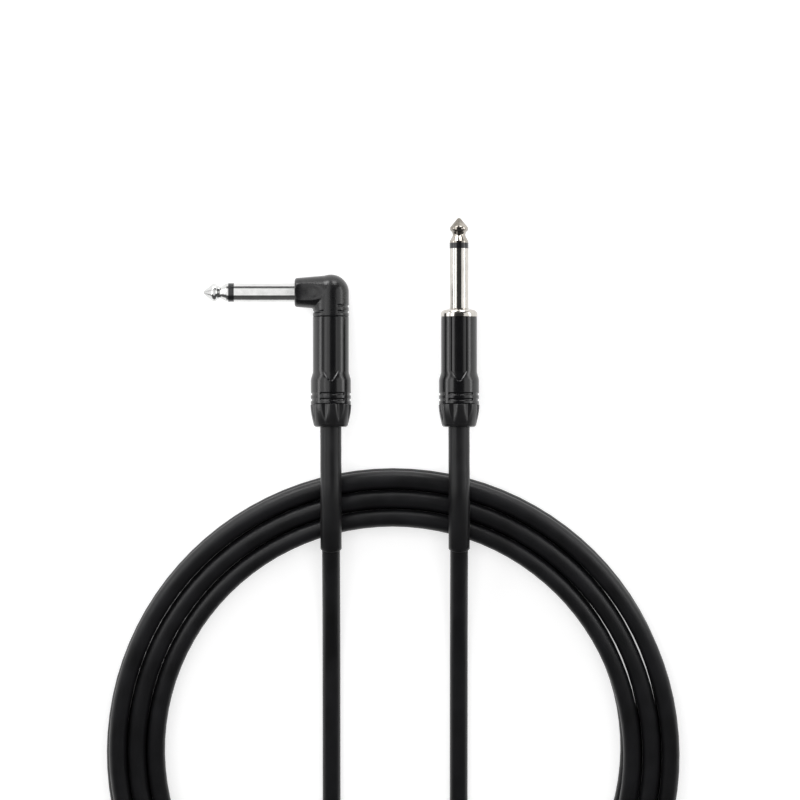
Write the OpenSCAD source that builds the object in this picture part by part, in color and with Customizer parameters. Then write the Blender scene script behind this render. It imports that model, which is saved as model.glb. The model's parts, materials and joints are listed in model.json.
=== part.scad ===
// Coiled instrument cable with one right-angle and one straight 6.35 mm mono plug.
// +Z is up, +Y runs from the coil towards the straight plug's tip, and the two plugs
// stand over the origin: it lies under the middle of their common box, on the floor.
// Each plug is drawn along its own axis, with z = 0 at the rear face of its clamp nut,
// the tip towards +z, and the label side towards -y.

/* [Cable] */
// Outside diameter of the cable's jacket
cable_d = 6.1; // [5.8:0.05:6.3]
// Diameter of the insulated core inside the cable
core_d = 2.9; // [2.4:0.1:3.1]
// Diameter of the bare centre conductor
wire_d = 1; // [0.6:0.1:1.3]
// Diameter of the twisted shield pigtail
pigtail_d = 1.5; // [1:0.1:1.6]

/* [Coil] */
// Radius of the middle column of turns, at the crown of the coil
coil_r = 87.6; // [84:0.1:92]
// Turns lying side by side in each of the two layers
coil_columns = 3; // [2:1:4]
// Space between neighbouring turns
turn_gap = 0.45; // [0.45:0.01:0.8]
// How far each layer's centre is shifted sideways, so that the layers meet at the crown
layer_shift = 1.2; // [1:0.1:1.4]
// How far below the coil's middle its two ends leave it, as an angle
exit_angle = 60; // [57:1:63]
// Distance from the rear of the plugs to the coil's middle
coil_back = 112.6; // [108:0.1:118]
// Sideways distance from the angled plug's axis to the coil's middle
coil_side = 21; // [18:0.5:24]

/* [Heat-shrink] */
// Wall of the heat-shrink sleeve once it is shrunk
shrink_wall = 0.55; // [0.4:0.05:0.7]
// How tightly the sleeve holds the jacket, on the radius
shrink_grip = 0.05; // [0.02:0.01:0.1]

/* [Contact pin] */
// Diameter of the plug's shaft, the quarter-inch standard
pin_d = 6.35; // [6.3:0.01:6.4]
// Length of the shaft from its shoulder to the end of the tip
pin_l = 30.9; // [30:0.1:32]
// Length of the tip contact in front of the black ring
tip_l = 8.45; // [8:0.05:9]
// Widest diameter of the tip's head
head_d = 6.2; // [6:0.05:6.3]
// Roundness of the tip's head where it is widest
head_round = 1.2; // [0.8:0.1:1.6]
// Distance from the end of the tip back to the head's widest place
head_back = 3.65; // [3.3:0.05:4]
// Roundness of the very end of the tip
nose_round = 0.9; // [0.6:0.1:1.2]
// Diameter of the neck behind the head
neck_d = 4.2; // [3.8:0.1:4.5]
// Distance from the end of the tip back to the neck
neck_back = 5.9; // [5.7:0.05:6.1]
// Width of the black insulating ring
band_l = 1.9; // [1.5:0.1:2.5]
// Diameter of the rod that carries the tip through the plug
rod_d = 2.4; // [2:0.1:2.6]
// Wall of the insulating tube round the rod
tube_wall = 0.7; // [0.5:0.05:0.8]

/* [Straight plug] */
// Diameter of the plated shoulder in front of the barrel
flange_d = 12.5; // [12.3:0.1:13]
// Length of that shoulder
flange_l = 2.6; // [2.2:0.1:3]

/* [Barrel] */
// Diameter of the barrel's straight part
barrel_d = 12.2; // [12:0.1:12.4]
// Length of the barrel
barrel_l = 29.6; // [29:0.1:31]
// Diameter of the barrel's thicker rear part
flare_d = 13.6; // [13.4:0.1:13.7]
// Length of that rear part
flare_l = 7.8; // [7.4:0.1:8.2]
// Length over which the barrel narrows in front of it
ramp_l = 3.5; // [3:0.1:4]
// Wall left between the barrel's front bore and its outside
barrel_wall = 1.2; // [1.1:0.05:1.4]
// How far contact or elbow reach into the barrel's front
seat_l = 5; // [4:0.1:5.5]
// Wall of the insulating liner in the barrel
liner_wall = 0.5; // [0.3:0.05:0.6]
// Width of the recessed label panel
label_w = 5.4; // [5:0.1:6]
// Depth of that panel
label_depth = 0.35; // [0.25:0.05:0.45]
// Length of the panel's pointed end
label_point = 2.8; // [2.4:0.1:3.2]
// Width of the grip grooves round the barrel
groove_w = 0.7; // [0.5:0.05:0.9]
// Depth of the grip grooves
groove_depth = 0.35; // [0.25:0.05:0.45]
// Spacing of the two grip grooves
groove_pitch = 1.95; // [1.7:0.05:2.3]
// Distance from the barrel's rear edge to the first groove's middle
groove_back = 2.35; // [2:0.05:2.6]
// Width of the lands that interrupt the grooves, as an angle
land_angle = 16; // [10:1:24]

/* [Clamp nut] */
// Largest diameter of the nut
nut_d = 13.8; // [13.8:0.05:14.2]
// Diameter of the nut near its rear edge
nut_rear_d = 11.7; // [11.4:0.1:12]
// Visible length of the nut
nut_l = 7.6; // [7.2:0.1:8.2]
// Number of V flutes round the nut
flutes = 8; // [6:1:10]
// How deep the flutes cut at the nut's front
flute_depth = 0.85; // [0.6:0.05:1]
// Gap between nut and barrel when the nut is tight
seam_gap = 0.1; // [0.08:0.02:0.2]
// Diameter of the nut's threaded part, drawn as a plain cylinder
thread_d = 10.6; // [10.5:0.05:10.7]
// Length of that threaded part
thread_l = 7; // [6.6:0.1:7.4]
// Lead of the thread in one turn
thread_pitch = 1; // [0.75:0.05:1]
// Turns that the nut makes from tight to loose
nut_turns = 5; // [4:1:5]
// Clearance between the nut's rear hole and the sleeve
nut_clearance = 0.2; // [0.15:0.05:0.3]
// Running clearance of thread, chuck and bores, on the radius
run_gap = 0.05; // [0.03:0.01:0.08]

/* [Chuck] */
// Wall of the chuck's fingers
finger_wall = 0.95; // [0.8:0.05:1]
// Number of slots between the fingers
chuck_slots = 4; // [3:1:6]
// Width of those slots
slot_w = 0.9; // [0.6:0.1:1.2]
// Length of the chuck's collar in front of the nut
collar_l = 4.2; // [3.8:0.1:4.4]
// Thickness of the nut's rear wall behind the chuck
nut_floor = 2; // [1.6:0.1:2.4]
// Length of the sloped seat that closes the fingers
seat_slope = 1.5; // [1.2:0.1:1.8]

/* [Elbow] */
// Distance from the barrel's front to the shaft's axis
elbow_rise = 8.25; // [7.9:0.05:8.8]
// Distance from the barrel's axis to the elbow's nose face
nose_l = 12.3; // [11.8:0.1:13]
// Diameter of the nose at its face, before the rounding
nose_d = 9.9; // [9.5:0.1:10.2]
// Diameter that the nose grows to over the barrel's axis
nose_root_d = 11.8; // [11.4:0.1:12]
// Height of the elbow's domed top above the shaft's axis
dome_rise = 6.1; // [5.8:0.1:6.5]
// Rounding of the nose's edge
nose_edge = 0.9; // [0.6:0.1:1.2]
// Diameter of the contact's seat in the nose
seat_d = 7.2; // [6.9:0.1:7.4]
// Length of that seat
nose_seat_l = 8.2; // [8.1:0.1:8.6]
// Depth of the scoop in the nose
scoop_depth = 0.7; // [0.4:0.05:0.8]
// Roundness of the scoop along the nose
scoop_r = 7; // [6:0.5:9]
// Depth of the cavity above the shaft's axis
cavity_rise = 3; // [2.5:0.1:3.4]

/* [Inside the plugs] */
// Thickness of the rear insulating washer
washer_t = 1; // [0.8:0.1:1.2]
// Thickness of the solder lugs
lug_t = 0.5; // [0.4:0.05:0.6]
// Width of their tails
lug_w = 2.2; // [1.8:0.1:2.4]
// Length of the cable's stripped end, from the jacket to the straight plug's contact
strip_l = 11.3; // [11.2:0.1:12]
// Length of the insulated core that stands out of the jacket, straight plug
core_l = 4.5; // [4:0.1:4.8]
// Diameter of the drops of solder
solder_d = 2.2; // [1.8:0.1:2.4]

/* [Layout] */
// Sideways distance between the two plugs' axes
plug_spacing = 43.4; // [43:0.1:46]
// Space left between each sleeve and the turns it rests on
rest_gap = 0.2; // [0.1:0.05:0.3]

/* [Hidden] */
$fn = 72;
over = 1;                // how far a cut reaches past the surface that it opens

// Colours
nickel = "gainsboro";
satin_black = "#26262a";
plastic_black = "#1c1c1e";
jacket_black = "#232325";
clear_plastic = "ivory";
tin = "silver";
copper = "peru";

// Radii of the cable
cable_r = cable_d / 2;
shrink_r = cable_r + shrink_wall;
pitch = cable_d + turn_gap;

// Radii that fit in one another at the rear of a plug
chuck_bore_r = shrink_r + run_gap;
finger_r = chuck_bore_r + finger_wall;
nut_bore_r = finger_r + run_gap;
nut_rear_hole_r = shrink_r + nut_clearance;
nut_edge = 1;                               // rounding of the nut's rear rim
thread_r = thread_d / 2;
rear_bore_r = thread_r + run_gap;
front_bore_r = barrel_d / 2 - barrel_wall;
liner_r = front_bore_r - liner_wall;
rod_r = rod_d / 2;
tube_r = rod_r + tube_wall;
pin_r = pin_d / 2;

// Places along a plug's axis, from the rear face of its nut
barrel_z = nut_l + seam_gap;
thread_z = barrel_z + thread_l;            // front end of the nut's thread
collar_z = thread_z + run_gap;             // rear face of the chuck's collar
shoulder_z = collar_z + collar_l + run_gap; // step in the barrel's bore
front_z = barrel_z + barrel_l;
contact_z = front_z - seat_l;              // rear face of a part that sits in the barrel's front
strip_z = contact_z - strip_l;             // where the jacket ends
shaft_z = front_z + elbow_rise;            // axis of the angled plug's shaft
nut_travel = nut_turns * thread_pitch;

// How each plug lies: its foot touches the floor, and its sleeve rests on the coil's crest
crest_z = 2 * cable_d + turn_gap + rest_gap + shrink_r;
crown_r = coil_r + (coil_columns - 1) / 2 * pitch;
straight_l = front_z + flange_l + pin_l;
head_z = straight_l - head_back;
head_arc_r = head_d / 2 - head_round;
straight_side = plug_spacing - coil_side;
straight_rest_back = coil_back - sqrt(pow(crown_r, 2) - pow(straight_side, 2));
straight_tilt = asin((crest_z - head_d / 2) / (head_z + straight_rest_back));
straight_h = head_z * sin(straight_tilt) + head_arc_r * cos(straight_tilt) + head_round;
dome_r = barrel_d / 2;
angled_rest_back = coil_back - sqrt(pow(crown_r, 2) - pow(coil_side, 2));
angled_tilt = asin((crest_z - dome_r) / (shaft_z + angled_rest_back));
angled_h = shaft_z * sin(angled_tilt) + dome_low(angled_tilt);

// The lowest place of the elbow's dome below the shaft's axis, for a plug tilted by a
function dome_low(a) = sqrt(pow(dome_r * cos(a), 2) + pow(dome_rise * sin(a), 2));

// The origin lies under the middle of the plugs' common box
nut_edge_r = nut_rear_d / 2 - nut_edge;
plug_y = -(straight_l * cos(straight_tilt) - nut_edge_r * sin(straight_tilt)) / 2;
angled_x = -(plug_spacing + nut_d / 2 - nose_l - pin_l) / 2;
straight_x = angled_x + plug_spacing;
coil_x = angled_x + coil_side;
coil_y = plug_y - coil_back;

// ---------- helpers ----------

module along_straight_plug() {
    translate([straight_x, plug_y, straight_h]) rotate([-90 - straight_tilt, 0, 0]) children();
}

module along_angled_plug() {
    translate([angled_x, plug_y, angled_h]) rotate([-90 - angled_tilt, 0, 0]) children();
}

// Contacts are drawn with z = 0 at the shoulder of the shaft and the tip towards +z.
module at_straight_contact() {
    along_straight_plug() translate([0, 0, front_z + flange_l]) children();
}

module at_angled_contact() {
    along_angled_plug() translate([-nose_l, 0, shaft_z]) rotate([0, -90, 0]) children();
}

function arc(middle, r, from, to, steps) =
    [for (i = [0:steps]) let (a = from + (to - from) * i / steps) middle + r * [cos(a), sin(a)]];

module turned(outline) {
    rotate_extrude() polygon(outline);
}

module ring(inner, outer, low, high) {
    difference() {
        translate([0, 0, low]) cylinder(r = outer, h = high - low);
        translate([0, 0, low - over]) cylinder(r = inner, h = high - low + 2 * over);
    }
}

// A rod between two points of one plane y = constant
module strand(from, to, r) {
    way = to - from;
    translate(from) rotate([0, atan2(way[0], way[2]), 0]) cylinder(r = r, h = norm(way));
}

// ---------- swept tubes ----------

function unit(v) = v / norm(v);

// A ring of points square to the route at point i. In the cable's own routes the frame's
// first direction is level, so a ring never twists.
function heading(route, i) =
    unit(route[min(i + 1, len(route) - 1)] - route[max(i - 1, 0)]);

function ring_at(route, i, outline) =
    let (ahead = heading(route, i), side = unit(cross(ahead, [0, 0, 1])), up = cross(side, ahead))
    [for (p = outline) route[i] + p[0] * side + p[1] * up];

function circle_outline(r, sides) =
    [for (k = [0:sides - 1]) r * [cos(k * 360 / sides), sin(k * 360 / sides)]];

// Six-sided section of a wound turn: as wide and as high as the cable, with narrow flats
// below and above
flat_r = 0.3 * cable_r;
wound_outline = [
    [cable_r, 0], [flat_r, cable_r], [-flat_r, cable_r],
    [-cable_r, 0], [-flat_r, -cable_r], [flat_r, -cable_r]
];

// Side faces between rings of n points, which run counterclockwise when seen along the route
function side_faces(n, rings, base = 0, flip = false) = [
    for (i = [0:rings - 2], k = [0:n - 1], half = [0, 1])
        let (a = base + i * n + k, b = base + i * n + (k + 1) % n, c = a + n, d = b + n,
             face = half == 0 ? [a, b, c] : [b, d, c])
        flip ? [face[2], face[1], face[0]] : face
];

module swept_tube(route, outline) {
    n = len(outline);
    last = (len(route) - 1) * n;
    polyhedron(
        points = [for (i = [0:len(route) - 1]) each ring_at(route, i, outline)],
        faces = concat(
            side_faces(n, len(route)),
            [for (k = [1:n - 2]) [0, k + 1, k]],
            [for (k = [1:n - 2]) [last, last + k, last + k + 1]]
        )
    );
}

// The same with a bore: outer rings first, then inner rings, joined by two flat end rings
module swept_sleeve(route, outline, bore) {
    n = len(outline);
    rings = len(route);
    inner = rings * n;
    last = (rings - 1) * n;
    polyhedron(
        points = concat(
            [for (i = [0:rings - 1]) each ring_at(route, i, outline)],
            [for (i = [0:rings - 1]) each ring_at(route, i, bore)]
        ),
        faces = concat(
            side_faces(n, rings),
            side_faces(n, rings, inner, true),
            [for (k = [0:n - 1], half = [0, 1]) let (m = (k + 1) % n)
                half == 0 ? [m, k, inner + k] : [m, inner + k, inner + m]],
            [for (k = [0:n - 1], half = [0, 1]) let (m = (k + 1) % n)
                half == 0 ? [last + k, last + m, inner + last + k]
                          : [last + m, inner + last + m, inner + last + k]]
        )
    );
}

// ---------- coil ----------

rings_per_turn = 24;
half_turn = rings_per_turn / 2;
mirror_at = 360 * coil_columns - 90;             // the angle where the spiral reverses
first_angle = -exit_angle;
last_angle = 2 * mirror_at - first_angle;
coil_steps = ceil((last_angle - first_angle) * rings_per_turn / 360);

// The lower layer spirals out, the cable climbs in the half turn round mirror_at,
// and the upper layer spirals in again.
function climb(a) = a < mirror_at - 90 ? 0 : a > mirror_at + 90 ? 1 : (1 - cos(a - mirror_at + 90)) / 2;

function coil_point(a) =
    let (turned_in = a < mirror_at ? a - 90 : 2 * mirror_at - a - 90,
         shift = layer_shift * (1 - 2 * climb(a)),
         r = coil_r - (coil_columns - 1) / 2 * pitch + pitch * turned_in / 360 + shift * cos(a))
    [coil_x + r * cos(a), coil_y + r * sin(a), cable_r + pitch * climb(a)];

wound = [for (i = [0:coil_steps]) coil_point(first_angle + (last_angle - first_angle) * i / coil_steps)];
into_coil = unit(coil_point(first_angle + 1) - wound[0]);
out_of_coil = unit(wound[coil_steps] - coil_point(last_angle - 1));
coil_start = wound[0] - cable_d * into_coil;
coil_end = wound[coil_steps] + cable_d * out_of_coil;
coil_route = concat([coil_start], wound, [coil_end]);

// Least distance between the outlines of two turns, over the points of rings that are
// at least half a turn apart along the cable
coil_rings = [for (i = [0:coil_steps]) ring_at(wound, i, wound_outline)];
least_gap = min([
    for (i = [0:coil_steps - half_turn], j = [i + half_turn:coil_steps])
        if (norm(wound[i] - wound[j]) < 2 * pitch)
            min([for (p = coil_rings[i], q = coil_rings[j]) norm(p - q)])
]);
coil_length = cable_d * 2 + rings_length(wound, 0);
function rings_length(route, i) =
    i >= len(route) - 1 ? 0 : norm(route[i + 1] - route[i]) + rings_length(route, i + 1);
echo(least_gap_between_turns = least_gap, coil_length = coil_length);

module cable_coil() {
    color(jacket_black) swept_tube(coil_route, wound_outline);
}

// ---------- leads ----------

function plug_axis(x, h, tilt, z) = [x, plug_y + z * cos(tilt), h - z * sin(tilt)];
function angled_axis(z) = plug_axis(angled_x, angled_h, angled_tilt, z);
function straight_axis(z) = plug_axis(straight_x, straight_h, straight_tilt, z);

straight_run = 12;       // the cable keeps to the plug's axis this far behind the nut
straight_end = 4;        // and runs straight this far into the coil's end

// From behind each plug: over the coil, down to the floor inside it, and round into it
angled_points = [
    [-3.5, -51, 15.9], [-3.5, -57, 16.8], [-3.5, -63, 17], [-3.5, -69, 16.7],
    [-3.5, -76, 15.3], [-3.5, -84, 12.6], [-3.5, -92, 9.3], [-3.5, -100, 6.3],
    [-3.5, -108, 4.2], [-3.5, -116, 3.2], [-3.5, -128, 3.05], [-3.5, -144, 3.05],
    [-3.5, -160, 3.05], [-3.5, -174, 3.05], [-3.5, -186, 3.05], [-2.5, -195.5, 3.05],
    [1.5, -204.5, 3.05], [7.5, -212, 3.05], [15, -218, 3.05], [24, -221.5, 3.05],
    [34, -223, 3.05], [43.5, -221.5, 3.05]
];
straight_points = [
    [39.9, -51, 15.9], [39.9, -57, 16.8], [39.9, -63, 17], [39.9, -69, 16.7],
    [39.9, -76, 15.3], [39.9, -84, 12.6], [39.9, -92, 9.3], [39.9, -100, 6.3],
    [39.9, -108, 4.2], [39.9, -116, 3.2], [39.9, -128, 3.05], [39.9, -144, 3.05],
    [39.9, -160, 3.05], [39.9, -173, 3.05], [39.9, -185, 3.1], [38.5, -194.5, 3.8],
    [34.5, -204, 5.6], [28.5, -212, 8], [23, -216.5, 9.2], [17.5, -219.5, 9.7],
    [10, -222.5, 9.7], [1.5, -223, 9.6], [-7.5, -222, 9.6]
];

axis_stops = [strip_z, barrel_z, 0, -straight_run / 2, -straight_run];
angled_route = concat([for (z = axis_stops) angled_axis(z)], angled_points,
    [coil_start - straight_end * into_coil, coil_start]);
straight_route = concat([for (z = axis_stops) straight_axis(z)], straight_points,
    [coil_end + straight_end * out_of_coil, coil_end]);
echo(angled_lead_length = rings_length(angled_route, 0),
     straight_lead_length = rings_length(straight_route, 0),
     cable_length = rings_length(angled_route, 0) + rings_length(straight_route, 0) + coil_length,
     nut_travel = nut_travel);

module cable_lead_angled() {
    color(jacket_black) swept_tube(angled_route, circle_outline(cable_r, 12));
}

module cable_lead_straight() {
    color(jacket_black) swept_tube(straight_route, circle_outline(cable_r, 12));
}

// The sleeve starts inside the chuck and ends behind the coil's crest.
shrink_rings = 9;

function first_rings(route, n) = [for (i = [0:n]) route[i]];

module heatshrink(route) {
    color("#2a2a2c")
        swept_sleeve(first_rings(route, shrink_rings), circle_outline(shrink_r, 12),
            circle_outline(cable_r - shrink_grip, 12));
}

module heatshrink_angled() {
    heatshrink(angled_route);
}

module heatshrink_straight() {
    heatshrink(straight_route);
}

// ---------- contacts ----------

tip_base_z = pin_l - tip_l;
band_z = tip_base_z - band_l;
rivet_l = 0.4;           // the rod's riveted end, which holds the tip lug
rivet_lip = 0.5;         // and how far it spreads past the rod
shoulder_l = 0.6;        // straight part of the tip in front of the black ring
shoulder_step = 0.03;    // how much slimmer than the shaft that part is

// rear is how far the sleeve contact reaches behind the shaft's shoulder
module tip_contact(rear) {
    rivet_z = -rear - washer_t - lug_t;
    shoulder_r = pin_r - shoulder_step;
    neck = [neck_d / 2, pin_l - neck_back];
    head = [head_arc_r, pin_l - head_back];
    point = [0, pin_l - nose_round];
    reach = norm(point - head);
    cone = atan2(head[0], point[1] - head[1]) + asin((head_round - nose_round) / reach);
    color(nickel) turned(concat(
        [[0, rivet_z - rivet_l], [rod_r + rivet_lip, rivet_z - rivet_l],
         [rod_r + rivet_lip, rivet_z], [rod_r, rivet_z], [rod_r, tip_base_z],
         [shoulder_r, tip_base_z], [shoulder_r, tip_base_z + shoulder_l],
         neck + [0.15, -0.35], neck + [0, -0.1], neck + [0, 0.3]],
        arc(head, head_round, -65, cone, 10),
        arc(point, nose_round, cone, 90, 6)
    ));
}

module tip_ring() {
    color(plastic_black) ring(rod_r, pin_r, band_z, tip_base_z);
}

module inner_tube(rear) {
    color(clear_plastic) ring(rod_r, tube_r, -rear, band_z);
}

module straight_contact_body() {
    edge = 1.5;          // rounding of the shoulder's rim
    dome = 0.25;         // how much the shoulder's front face rises from rim to shaft
    foot = 0.7;          // width of the flat ring round the shaft's foot
    rim_r = flange_d / 2;
    color(nickel) difference() {
        turned(concat(
            [[0, -flange_l - seat_l], [front_bore_r, -flange_l - seat_l], [front_bore_r, -flange_l],
             [rim_r, -flange_l]],
            arc([rim_r - edge, -edge - dome], edge, 0, 80, 8),
            [[pin_r + foot, 0], [pin_r, dome], [pin_r, band_z], [0, band_z]]
        ));
        translate([0, 0, -flange_l - seat_l - over])
            cylinder(r = tube_r, h = flange_l + seat_l + band_z + 2 * over);
    }
}

module angled_contact_body() {
    color(nickel) difference() {
        union() {
            translate([0, 0, -nose_seat_l]) cylinder(r = seat_d / 2, h = nose_seat_l);
            translate([0, 0, -over]) cylinder(r = pin_r, h = band_z + over);
        }
        translate([0, 0, -nose_seat_l - over]) cylinder(r = tube_r, h = nose_seat_l + band_z + 2 * over);
    }
}

washer_r = 2.6;

module rear_washer(rear) {
    color(clear_plastic) ring(rod_r, washer_r, -rear - washer_t, -rear);
}

// ---------- inside the plugs ----------

tip_lug_r = 2.3;
ground_ring_r = washer_r + 0.1;
ground_gap = 0.5;        // from the liner to the straight plug's ground tail
ground_x = liner_r - ground_gap - lug_t;   // inner face of that tail
lug_root = 0.4;          // how far a bent tail reaches into its ring
straight_tip_tail_l = 4.6;
straight_ground_tail_l = 7;
angled_tip_tail_l = 5.5;
angled_ground_tail_l = 6.6;
lug_room_l = angled_ground_tail_l + solder_d;
lug_room_gap = 0.1;

// Straight plug: both tails are bent back along the plug's axis.
module straight_tip_lug_body() {
    top = contact_z - washer_t;
    color(tin) union() {
        ring(rod_r, tip_lug_r, top - lug_t, top);
        translate([-lug_w / 2, tip_lug_r - lug_root, top - straight_tip_tail_l])
            cube([lug_w, lug_t, straight_tip_tail_l]);
    }
}

module straight_ground_lug_body() {
    color(tin) union() {
        ring(ground_ring_r, liner_r - run_gap, contact_z - lug_t, contact_z);
        translate([ground_x, -lug_w / 2, contact_z - straight_ground_tail_l])
            cube([lug_t, lug_w, straight_ground_tail_l]);
    }
}

// Angled plug: the tails hang in the plane of their rings, towards the cable. Both lugs are
// drawn in the contact's frame, where -x points to the cable.
module hanging_lug(inner, outer, top, tail_l) {
    color(tin) union() {
        ring(inner, outer, top - lug_t, top);
        translate([-tail_l, -lug_w / 2, top - lug_t]) cube([tail_l - outer + 0.5, lug_w, lug_t]);
    }
}

core_r = core_d / 2;
wire_r = wire_d / 2;
pigtail_r = pigtail_d / 2;
pigtail_x = core_r + pigtail_r + run_gap;

// ---------- barrel, liner, chuck, nut ----------

module barrel_outline() {
    edge = 0.2;          // chamfer of both ends
    swell = 0.05;        // the thicker part widens by this much towards the nut
    bend_l = 0.8;        // length over which it bends into the narrowing part
    bend = 0.1;          // and how much it narrows there
    flare_r = flare_d / 2;
    body_r = barrel_d / 2;
    ramp_r = flare_r - bend;
    ramp_z = barrel_z + flare_l;
    polygon([
        [0, barrel_z], [flare_r + swell - edge, barrel_z], [flare_r + swell, barrel_z + edge],
        [flare_r, ramp_z - bend_l], [ramp_r, ramp_z],
        for (i = [1:7]) [body_r + (ramp_r - body_r) * (1 + cos(180 * i / 8)) / 2,
            ramp_z + ramp_l * i / 8],
        [body_r, ramp_z + ramp_l], [body_r, front_z - edge], [body_r - edge, front_z], [0, front_z]
    ]);
}

// The panel that the label sits in: open at the barrel's front, pointed at its rear
module label_cut() {
    half = label_w / 2;
    blunt = 0.3 * half;  // half the width of the point's blunt end
    point_z = barrel_z + flare_l + 0.7;
    rotate([90, 0, 0]) linear_extrude(barrel_d) polygon([
        [-half, front_z + over], [-half, point_z + label_point], [-blunt, point_z],
        [blunt, point_z], [half, point_z + label_point], [half, front_z + over]
    ]);
}

// Ring groove with four lands left standing between its arcs
module grip_groove(z, r) {
    difference() {
        ring(r - groove_depth, r + over, z - groove_w / 2, z + groove_w / 2);
        for (a = [45:90:315])
            translate([0, 0, z - groove_w]) linear_extrude(2 * groove_w)
                polygon(concat([[0, 0]], arc([0, 0], 2 * r, a - land_angle / 2, a + land_angle / 2, 1)));
    }
}

module barrel() {
    color(satin_black) difference() {
        rotate_extrude() barrel_outline();
        translate([0, 0, barrel_z - over]) cylinder(r = rear_bore_r, h = shoulder_z - barrel_z + over);
        translate([0, 0, barrel_z]) cylinder(r = front_bore_r, h = barrel_l + over);
        intersection() {
            label_cut();
            ring(barrel_d / 2 - label_depth, barrel_d, barrel_z, front_z + 2 * over);
        }
        grip_groove(barrel_z + groove_back, flare_d / 2);
        grip_groove(barrel_z + groove_back + groove_pitch, flare_d / 2);
    }
}

module liner() {
    color(clear_plastic) ring(liner_r, front_bore_r, shoulder_z, contact_z);
}

module chuck() {
    finger_z = nut_floor + run_gap;
    finger_root = 1.6;   // length of unslotted wall behind the collar
    collar_end_z = collar_z + collar_l;
    color("dimgray") difference() {
        turned([
            [chuck_bore_r, finger_z], [nut_rear_hole_r, finger_z], [finger_r, finger_z + seat_slope],
            [finger_r, collar_z], [thread_r, collar_z], [thread_r, collar_end_z],
            [chuck_bore_r, collar_end_z]
        ]);
        for (i = [0:chuck_slots - 1])
            rotate([0, 0, 360 * i / chuck_slots]) translate([0, -slot_w / 2, 0])
                cube([thread_d, slot_w, collar_z - finger_root]);
    }
}

module clamp_nut() {
    nut_r = nut_d / 2;
    rear_r = nut_rear_d / 2;
    bulge = 1.8;         // 1 gives a cone, more a fuller body
    lip = 0.2;           // chamfer of the front rim
    steps = 8;
    v_depth = 2;         // the V cutter: how far its arms reach outwards
    v_half = 3.4;        // and how wide they have spread by then
    color(plastic_black) difference() {
        turned(concat(
            [[0, 0]],
            arc([rear_r - nut_edge, nut_edge], nut_edge, -90, 0, 6),
            [for (i = [1:steps]) let (z = nut_edge + (nut_l - lip - nut_edge) * i / steps)
                [nut_r - (nut_r - rear_r) * pow((nut_l - z) / (nut_l - nut_edge), bulge), z]],
            [[nut_r - lip, nut_l], [thread_r, nut_l], [thread_r, thread_z], [0, thread_z]]
        ));
        translate([0, 0, -over]) cylinder(r = nut_rear_hole_r, h = nut_l);
        translate([0, 0, nut_floor])
            cylinder(r1 = nut_rear_hole_r, r2 = nut_bore_r, h = seat_slope);
        translate([0, 0, nut_floor + seat_slope]) cylinder(r = nut_bore_r, h = thread_z);
        for (i = [0:flutes - 1])
            rotate([0, 0, 270 + 360 * (i + 0.5) / flutes]) translate([nut_r - flute_depth, 0, -over])
                linear_extrude(nut_l + 2 * over)
                    polygon([[0, 0], [v_depth, -v_half], [v_depth, v_half]]);
    }
}

// ---------- elbow ----------

module elbow() {
    body_r = barrel_d / 2;
    nose_r = nose_d / 2;
    chamfer = 0.15;      // of the collar where it meets the barrel
    scoop_back = 2;      // from the nose's face to the scoop's deepest place
    low_groove = front_z + 1.6;
    high_groove = low_groove + groove_pitch;
    groove_reach = 68;   // half the angle that a collar groove runs round
    color(satin_black) difference() {
        union() {
            turned(concat(
                [[0, contact_z], [front_bore_r, contact_z], [front_bore_r, front_z],
                 [body_r - chamfer, front_z], [body_r, front_z + chamfer]],
                [for (i = [0:12]) [body_r * cos(90 * i / 12), shaft_z + dome_rise * sin(90 * i / 12)]]
            ));
            translate([0, 0, shaft_z]) rotate([0, -90, 0]) turned(concat(
                [[0, 0], [nose_root_d / 2, 0]],
                arc([nose_r - nose_edge, nose_l - nose_edge], nose_edge, 0, 90, 6),
                [[0, nose_l]]
            ));
        }
        translate([0, 0, contact_z - over])
            cylinder(r = liner_r, h = shaft_z - contact_z + over + cavity_rise);
        translate([0, 0, shaft_z]) rotate([0, -90, 0]) cylinder(r = seat_d / 2, h = nose_l + over);
        // room for the lugs' tails and the pigtail, which lies within the cavity unless the
        // nose is long for its seat
        translate([-nose_l + nose_seat_l, 0, shaft_z - lug_room_l] - lug_room_gap * [1, 1, 0]
                - [0, lug_w / 2, 0])
            cube([nose_l - nose_seat_l, lug_w + 2 * lug_room_gap, lug_room_l]);
        // the scoop on the label side of the nose
        translate([-nose_l + scoop_back, -nose_r - scoop_r + scoop_depth, shaft_z - nose_r])
            cylinder(r = scoop_r, h = nose_d);
        collar_groove(low_groove, -groove_reach, groove_reach);
        collar_groove(low_groove, 180 - groove_reach, 180 + groove_reach);
        collar_groove(high_groove, -groove_reach, groove_reach);
    }
}

// A groove round the elbow's collar between two angles, drawn as a bent bar
module collar_groove(z, from, to) {
    r = barrel_d / 2;
    intersection() {
        ring(r - groove_depth, r + over, z - groove_w / 2, z + groove_w / 2);
        translate([0, 0, z - groove_w]) linear_extrude(2 * groove_w)
            polygon(concat([[0, 0]], arc([0, 0], 2 * r, from, to, 6)));
    }
}

// ---------- nodes ----------

straight_rear = flange_l + seat_l;
angled_rear = nose_seat_l;

module straight_tip_contact() { at_straight_contact() tip_contact(straight_rear); }
module straight_tip_ring() { at_straight_contact() tip_ring(); }
module straight_inner_tube() { at_straight_contact() inner_tube(straight_rear); }
module straight_sleeve_contact() { at_straight_contact() straight_contact_body(); }
module straight_rear_washer() { at_straight_contact() rear_washer(straight_rear); }
module straight_tip_lug() { along_straight_plug() straight_tip_lug_body(); }
module straight_ground_lug() { along_straight_plug() straight_ground_lug_body(); }
module straight_barrel() { along_straight_plug() barrel(); }
module straight_liner() { along_straight_plug() liner(); }
module straight_chuck() { along_straight_plug() chuck(); }
module straight_clamp_nut() { along_straight_plug() clamp_nut(); }

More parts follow.
